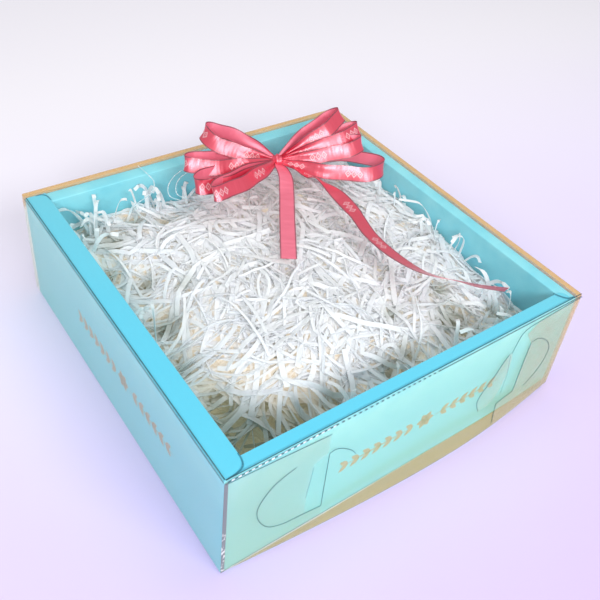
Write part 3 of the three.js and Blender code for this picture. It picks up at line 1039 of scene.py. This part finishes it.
CUTS = (
    ((-149.6, 94.5), (-112.0, 91.7), (-75.5, 88.9)),
    ((-100.4, 74.7), (-110.0, 71.4), (-118.8, 65.6), (-126.0, 54.6), (-126.6, 44.5))
    + ((-122.8, 34.0), (-116.5, 26.5), (-106.5, 22.7)),
    ((-106.5, 22.7), (-92.0, 22.4), (-78.5, 21.7)),
    ((-78.5, 21.7), (-77.1, 46.0), (-75.7, 71.2)),
    ((-75.7, 71.2), (-71.5, 72.2), (-66.5, 70.2), (-61.0, 66.0), (-56.9, 61.9), (-54.0, 57.2)),
    ((156.4, 94.3), (133.6, 93.2), (113.8, 91.8)),
    ((113.8, 91.8), (102.0, 91.0), (94.0, 87.9), (90.0, 80.0), (87.3, 72.0)),
    ((84.5, 72.5), (79.0, 66.5), (72.0, 56.9), (62.5, 47.5), (58.4, 39.5), (61.5, 29.2)),
    ((108.0, 72.1), (104.6, 49.0), (101.1, 26.4)),
    ((101.1, 26.4), (91.5, 25.8), (82.3, 24.9)),
    ((82.3, 24.9), (82.1, 15.0), (82.0, 5.1)),
    ((108.6, 72.6), (115.5, 72.4), (122.8, 68.5), (131.0, 61.0), (135.9, 52.1))
    + ((135.6, 43.0), (131.8, 35.0), (124.0, 28.4), (114.7, 23.8)),
)
FAINT_CUTS = (
    ((-91.2, 38.7), (-89.2, 52.0), (-87.2, 65.6)),
    ((86.0, 70.0), (87.4, 52.0), (85.0, 34.0)),
)


def on_front(x, z, out):
    """Points of the front wall of the film, so far out from its outside."""
    return np.stack([x, -HALF - FILM_FIT - front_bow(x, z) - out, z], -1)


def on_back(x, z, out):
    """Points of the back wall of the film."""
    return np.stack([x, HALF + FILM_SLACK + out + 0 * x, z], -1)


def flap_sheet(place, flap):
    """Doubled film: for each height it runs from the low to the high outline."""
    z = np.linspace(flap["z"][0], flap["z"][-1], 40)
    low = np.interp(z, flap["z"], flap["low"])[:, None]
    high = np.interp(z, flap["z"], flap["high"])[:, None]
    share = np.linspace(0, 1, 24) if place is on_front else np.linspace(1, 0, 24)
    x = (low + (high - low) * share) * MILLIMETRE
    tall = np.broadcast_to(z[:, None], x.shape) * MILLIMETRE
    return [place(x, tall, out)[None, :, ::-1] for out in FLAP_OUT]


def cut_lines(place, cuts, width):
    """Beads along the cuts, which thin towards their ends."""
    facing = FORWARD if place is on_front else -FORWARD
    routes = [smooth_route(spots, 30).T * MILLIMETRE for spots in cuts]
    return [bead(place(*route, LINE_OUT), facing, width, taper=0.25) for route in routes]


def doubled_film():
    """Two layers of film, one on the other: a warm tint in soft clouds, warmer to the right."""
    finish = Finish("doubled_film", {"Roughness": 0.12})
    (x,) = finish.axes("x")
    cloud = finish.noise(30)
    finish.colour(cloud + 0.5, (0.82, 0.70, 0.44, 1), (0.70, 0.72, 0.46, 1))
    right = x.rises(0.050, 0.110) * (0.14 + 0.24 * finish.noise(55))
    finish.varies("Alpha", 0.065 + 0.06 * cloud + right)
    return finish


def dark_edge(name, alpha):
    """The cut edge of film, dark where the light runs out of it, fainter here and there."""
    finish = Finish(name, {"Roughness": 0.35})
    fade = finish.noise(120)
    finish.colour(fade + 0.5, (0.01, 0.06, 0.08, 1), (0.05, 0.18, 0.20, 1))
    finish.varies("Alpha", alpha * (1 + 0.6 * fade))
    return finish


tint = doubled_film()
dark = dark_edge("film_cut_edge", 0.85)
faint = dark_edge("film_faint_edge", 0.14)
for name, place in (("front", on_front), ("back", on_back)):
    flaps = [flap_sheet(place, flap) for flap in FLAPS]
    joined("lock_flaps_" + name, flaps, tint, "cover")
    joined("lock_edges_" + name, cut_lines(place, CUTS, CUT_LINE), dark, "cover")
    joined("lock_shades_" + name, cut_lines(place, FAINT_CUTS, SHADE_LINE), faint, "cover")

# Creases of the film: pressed lines along its left and front top edges, the front one dashed
# where a cutting rule went through it, and a broad whitened crease down the near corner.

CREASES = (
    (((-149.5, 149.0, 97.72), (-149.5, -149.6, 97.72)), UP),
    (((-150.7, 149.0, 96.4), (-150.7, -150.4, 96.4)), LEFTWARD),
    (((-149.2, -150.2, 97.66), (155.0, -150.2, 97.66)), UP),
)
CREASE_WIDE = 0.00055
DASH_PITCH = 0.0044
DASH_HIGH = 0.0957
DASHES = {"start": -0.1480, "end": 0.012, "share": 0.42, "width": 0.0010}
SPARKS = {"start": -0.1458, "end": -0.073, "share": 0.46, "width": 0.0012}
FRONT_END_X = 0.155
CORNER_X = -0.1492
CORNER_RISE = (0.0012, 0.0952)
CORNER_WIDE = 0.0026


def front_line(start, end, count, width):
    """A bead along the front wall, level, at the height of the dashes."""
    x = np.linspace(start, end, count)
    return bead(on_front(x, np.full(count, DASH_HIGH), LINE_OUT), FORWARD, width)


def dashes(start, end, share, width):
    """Short beads on the front wall, one to each pitch, as long as a share of it."""
    starts = np.arange(start, end, DASH_PITCH)
    return [front_line(x, x + DASH_PITCH * share, 3, width) for x in starts]


creases = []
for ends, facing in CREASES:
    creases.append(bead(np.linspace(*ends, 80) * MILLIMETRE, facing, CREASE_WIDE))
creases.append(front_line(DASHES["end"], FRONT_END_X, 50, CREASE_WIDE))
joined("film_creases", creases, dark, "cover")
cut_through = dark_edge("film_cut_dash", 1.0)
joined("film_dashes", dashes(**DASHES), cut_through, "cover")


ALL_WHITE = 0.2


def whitened(name, grey, light, start):
    """Film whitened by a crease: grey with light flecks, which are fewer above the start."""
    finish = Finish(name, {"Roughness": 0.3})
    (z,) = finish.axes("z")
    fleck = finish.noise(620, 1.0).rises(0.06, 0.12) * z.rises(start + 0.006, start - 0.010)
    finish.colour(fleck, grey, light)
    finish.varies("Alpha", 0.72 + 0.25 * fleck)
    return finish


white = whitened("film_sparks", (0.85, 0.93, 0.93, 1), (1.0, 1.0, 1.0, 1), ALL_WHITE)
joined("film_sparks", dashes(**SPARKS), white, "cover")

corner = on_front(np.full(50, CORNER_X), np.linspace(*CORNER_RISE, 50), 0.0002)
corner_crease = bead(corner, FORWARD, CORNER_WIDE, taper=0.12)
grey = whitened("film_corner_crease", (0.26, 0.29, 0.30, 1), (0.75, 0.76, 0.72, 1), 0.046)
joined("film_corner_crease", [corner_crease], grey, "cover")

# Pale beads on the top panel towards the back left, with light flecks.

RIDGES = (
    ((-54.6, 150.0), (-53.1, 130.9), (-54.5, 121.0), (-63.0, 109.4), (-81.9, 100.9), (-90.3, 92.2)),
    ((-26.0, 127.4), (-36.5, 121.8), (-46.9, 111.5), (-51.8, 99.0), (-47.0, 90.0)),
    ((-23.0, 122.6), (-32.5, 118.0), (-40.6, 109.8), (-45.4, 98.4), (-41.0, 89.0)),
)
RIDGE_WIDE = 0.0008
RIDGE_HIGH = FILM_TOP + 0.00012
ridges = [bead(level_route(spots, RIDGE_HIGH), UP, RIDGE_WIDE, taper=0.5) for spots in RIDGES]
pale = whitened("film_ridge", (0.62, 0.86, 0.92, 1), (1.0, 1.0, 1.0, 1), ALL_WHITE)
joined("film_ridges", ridges, pale, "cover")

# Ribbon bow: one length of coral satin ribbon 12.5 mm wide, laid in eight loops, gathered
# in the middle and bound by a knot. Near and far are the leans of each loop's two runs, and
# mark tells how far along the near run its printed ornament sits.

RIBBON_WIDE = 0.0125
RIBBON_THICK = 0.0004
KNOT = np.array([0.048, 0.095, 0.1042])
LOOP_FIELDS = ("heading", "rise", "length", "belly", "open", "near", "far", "mark")
RIGHT_LOOPS = (
    (5, 20, 0.073, 0.0090, -20, -38, -24, 0.55),
    (-9, 13, 0.079, 0.0080, -16, -35, -22, 0.90),
    (-22, 10.5, 0.075, 0.0090, -8, -36, -16, 0.47),
    (-36, 1.5, 0.091, 0.0150, -2, -36, -2, 0.74),
)
LEFT_LOOPS = (
    (145, 20, 0.067, 0.0105, -4, 38, 12, 0.36),
    (170, 9, 0.083, 0.0090, 5, 34, 14, 0.50),
    (188, 6, 0.087, 0.0100, 2, 34, 14, 0.93),
    (201, 8, 0.088, 0.0070, 10, 36, 20, 0.38),
)
RIBBON_COLUMNS = 9
MARK_PITCH = 0.050
WAIST = 0.38
PLEAT_DEEP = 0.0011
PLEATS = 1.4
SWAY = 0.0011
CROWN = 0.0018


def satin():
    """Coral satin ribbon: deep and glossy on its face, paler and dull on its reverse, with
    darker woven edges. On its face is a pale printed ornament now and then, three outlined
    lozenges in a row."""
    finish = Finish(
        "coral_satin",
        {
            "Metallic": 0.30,
            "IOR": 2.1,
            "Specular IOR Level": 0.9,
            "Specular Tint": (1.0, 0.84, 0.89, 1),
            "Coat Weight": 0.30,
            "Coat Roughness": 0.42,
            "Coat Tint": (1.0, 0.86, 0.91, 1),
            "Sheen Weight": 0.10,
            "Sheen Roughness": 0.4,
        },
    )
    along = finish.own("along")
    across = finish.own("across")
    edge = abs(across).rises(0.41, 0.45)
    cloud = finish.noise(60)
    weave = finish.noise(1400, 1.0)
    flat = finish.node("ShaderNodeCombineXYZ", {}, {0: along, 1: across * (RIBBON_WIDE * 0.3)})
    ripple = finish.noise(110, 2.0, flat)
    face = finish.own("face")
    deep = finish.blend(cloud + 0.5, (0.73, 0.018, 0.062, 1), (0.81, 0.042, 0.100, 1))
    dull = finish.blend(cloud + 0.5, (0.91, 0.138, 0.232, 1), (0.97, 0.175, 0.275, 1))
    coral = finish.blend(face, dull, deep)
    edged = finish.blend(0.9 * edge, coral, (0.26, 0.02, 0.045, 1))
    place = along.wrapped(MARK_PITCH)
    inside = abs(place).rises(0.0078, 0.0076)
    lozenge = abs(place.wrapped(0.0051)) / 0.0025 + abs(across) * (RIBBON_WIDE / 0.0033)
    outline = lozenge.rises(0.55, 0.70) * lozenge.rises(1.10, 0.96)
    mark = inside * face * (outline + lozenge.rises(0.30, 0.20))
    finish.colour(0.62 * mark, edged, (0.98, 0.72, 0.74, 1))
    finish.varies("Roughness", 0.50 - 0.18 * face + 0.10 * cloud + 0.05 * weave + 0.25 * mark)
    finish.bump(0.04 * weave * (1 - edge) + ripple, 0.0010)
    return finish


def run_lengths(middle):
    """How far each point of a run is from its start."""
    step = np.linalg.norm(np.diff(middle, axis=0), axis=1)
    return np.concatenate([[0], np.cumsum(step)])


def ribbon_loop(fields, near_last):
    """One loop: it leaves the knot along its heading and comes back, its two runs parted by
    the belly along the opening; near the knot it narrows and gathers into pleats."""
    loop = dict(zip(LOOP_FIELDS, fields))
    a = math.radians(loop["heading"])
    e = math.radians(loop["rise"])
    o = math.radians(loop["open"])
    out = np.array([math.cos(a) * math.cos(e), math.sin(a) * math.cos(e), math.sin(e)])
    level = np.array([-math.sin(a), math.cos(a), 0])
    above = np.cross(out, level)
    opening = level * math.cos(o) + above * math.sin(o)
    t = np.linspace(0, 1, 96)
    reach = (1 - np.cos(2 * math.pi * t)) / 2
    gap = loop["belly"] * np.sin(2 * math.pi * t) * np.sin(math.pi * t) / 0.77
    gap = gap + SWAY * np.sin(5 * math.pi * reach + 3 * a) * np.sin(math.pi * t)
    middle = KNOT + out * (loop["length"] * reach)[:, None] + opening * gap[:, None]
    first, last = ("far", "near") if near_last else ("near", "far")
    lean = loop[first] + (loop[last] - loop[first]) * smooth(0.35, 0.65, t)
    lean = np.radians(lean)[:, None]
    across = above * np.cos(lean) - level * np.sin(lean)
    width = RIBBON_WIDE * (WAIST + (1 - WAIST) * smooth(0, 0.40, reach))
    top, under = carried(middle, across, width, RIBBON_THICK, RIBBON_COLUMNS)
    v = np.linspace(-0.5, 0.5, RIBBON_COLUMNS)
    normal = np.cross(unit(np.gradient(middle, axis=0)), across)
    gather = smooth(0.62, 0.0, reach)[:, None] * np.sin(2 * math.pi * PLEATS * v + a)
    crown = smooth(0.0, 0.5, reach)[:, None] * (0.25 - v**2)
    shift = normal[:, None] * (PLEAT_DEEP * gather + CROWN * crown)[..., None]
    along = run_lengths(middle)
    place = loop["mark"] * loop["length"]
    along = along - (along[-1] - place if near_last else place)
    return top + shift, under + shift, along


def put_ribbon(name, runs, face):
    """Puts ribbon runs with the same number of points into one piece. It carries how far each point is
    along and across, and which of its two sides is the satin's face."""
    top = np.stack([run[0] for run in runs])
    under = np.stack([run[1] for run in runs])
    along = np.stack([run[2] for run in runs])[..., None]
    values = {"along": along, "across": np.linspace(-0.5, 0.5, RIBBON_COLUMNS), "face": face[0]}
    piece = closed_sheets(name, top, under, ribbon, values, {"face": face[1]})
    placed(piece, "bow")


ribbon = satin()
loop_runs = [ribbon_loop(fields, True) for fields in RIGHT_LOOPS]
loop_runs += [ribbon_loop(fields, False) for fields in LEFT_LOOPS]
put_ribbon("bow_loops", loop_runs, (0.0, 1.0))

# The tails lie over the cover. The front one shows its plain side and lies flat. The right
# one pinches in a fold near the knot, spreads, and then rolls over onto its edge.

FRONT_TAIL = (
    (48, 95, 103.0),
    (44, 77, 101.0),
    (33, 58, 98.6),
    (15, 31, 98.6),
    (-13, -12, 98.6),
)
FRONT_ROLL = (-20, -12, 0, 0, 0)
RIGHT_TAIL = (
    (48.0, 95.0, 102.5),
    (55.5, 90.1, 101.6),
    (59.7, 82.7, 101.2),
    (62.4, 65.7, 101.0),
    (64.5, 55.9, 102.6),
    (68.0, 35.3, 99.4),
    (65.9, 15.8, 99.6),
    (62.9, 2.1, 100.2),
    (57.7, -20.1, 100.2),
    (56.9, -45.1, 100.5),
    (60.0, -67.9, 101.4),
    (65.4, -82.1, 102.3),
    (78.2, -98.2, 103.0),
    (86.9, -109.9, 103.7),
    (101.2, -122.6, 103.9),
)
RIGHT_ROLL = (-15, -15, -18, -13, -36, 3, 6, -9, -12, -15, -24, -33, -42, -49, -54)
MARK_RIGHT = 0.0850


def ribbon_tail(points, rolls, mark, count=130):
    """A tail: across it is level and square to the route, then rolled about it. The fold
    shows as a narrow place, where it stands on its edge."""
    middle = smooth_route(points, count) * MILLIMETRE
    roll = np.radians(smooth_route(np.array(rolls)[:, None], count)[:, 0])
    width = RIBBON_WIDE * (0.55 + 0.45 * smooth(0, 0.12, np.linspace(0, 1, count)))
    top, under = carried(middle, leaned(middle, roll), width, RIBBON_THICK, RIBBON_COLUMNS)
    return top, under, run_lengths(middle) - mark


put_ribbon("tail_front", [ribbon_tail(FRONT_TAIL, FRONT_ROLL, 0)], (0.0, 1.0))
put_ribbon("tail_right", [ribbon_tail(RIGHT_TAIL, RIGHT_ROLL, MARK_RIGHT)], (1.0, 0.0))

# The knot: a turn of the same ribbon pulled tight round the gathered loops, in soft folds.

KNOT_LONG = 0.0055
KNOT_ROUND = 0.0056
KNOT_HEADING = -35


def knot_band():
    """A barrel along the heading: its radius falls to its ends as the root of one minus the
    square, with folds that run round it and slow pleats along."""
    turn = np.linspace(0, 2 * math.pi, 48, endpoint=False)[:, None]
    pole = np.linspace(-math.pi / 2, math.pi / 2, 29)[None]
    fold = 1 + 0.10 * np.cos(7 * pole + 0.9 * np.sin(turn)) + 0.07 * np.sin(2 * turn + 3 * pole)
    radius = KNOT_ROUND * 0.88 * np.cos(pole) * fold
    x = KNOT_LONG * np.sin(pole) + 0 * turn
    y = radius * np.cos(turn)
    z = radius * np.sin(turn)
    h = math.radians(KNOT_HEADING)
    turned = [x * math.cos(h) - y * math.sin(h), x * math.sin(h) + y * math.cos(h), z]
    points = np.stack(turned, -1) + KNOT
    values = {
        "along": np.broadcast_to(MARK_PITCH / 2 + 0.3 * turn * KNOT_ROUND, x.shape),
        "across": np.broadcast_to(0.40 * np.sin(pole), x.shape),
        "face": np.ones_like(x),
    }
    return points.reshape(-1, 3), grid_faces(*x.shape, round_rows=True)[:, ::-1], values


points, faces, values = knot_band()
knot = put_mesh("bow_knot", points, faces, ribbon, values=values)
merge_doubles(knot, POLE)
placed(knot, "bow")

# Floor and light: a pale, faintly lilac floor, a broad light from the front and above, a
# smaller one from the front left, a soft one over the box, and an even sky.

FLOOR_HALF = 3.0
FLOOR_DROP = 0.0002


def pale_floor():
    """A matt floor, that goes from lilac at the front to nearly white at the back."""
    finish = Finish("pale_floor", {"Roughness": 0.7})
    x, y = finish.axes("xy")
    away = (x * 0.1 + y + 0.1 * finish.noise(3)).rises(-0.5, 0.5)
    finish.colour(away, (0.64, 0.49, 0.90, 1), (0.99, 0.94, 1.0, 1))
    return finish


across_floor = np.linspace(-FLOOR_HALF, FLOOR_HALF, 3)
floor_x, floor_y = np.meshgrid(across_floor, across_floor, indexing="ij")
floor_points = np.stack([floor_x, floor_y, 0 * floor_x - FLOOR_DROP], -1).reshape(-1, 3)
floor = put_mesh("floor", floor_points, grid_faces(3, 3), pale_floor())

LIGHTS = (
    ("key", (0.18, -2.10, 1.62), (1.5, 0.65), 30.0),
    ("fill", (-1.22, -1.42, 1.12), (0.70, 0.45), 18.0),
    ("top", (0.10, 0.05, 1.60), (1.2, 1.2), 6.8),
)
for name, place, size, power in LIGHTS:
    lamp = bpy.data.lights.new(name, "AREA")
    lamp.shape = "RECTANGLE"
    lamp.size, lamp.size_y = size
    lamp.energy = power
    holder = bpy.data.objects.new(name, lamp)
    holder.location = place
    holder.rotation_euler = holder.location.to_track_quat("Z", "Y").to_euler()
    bpy.context.scene.collection.objects.link(holder)

sky = bpy.data.worlds.new("sky")
sky.use_nodes = True
background = sky.node_tree.nodes["Background"].inputs
background["Color"].default_value = (0.92, 0.96, 0.98, 1)
background["Strength"].default_value = 0.50
bpy.context.scene.world = sky
bpy.context.scene.view_settings.view_transform = "Standard"
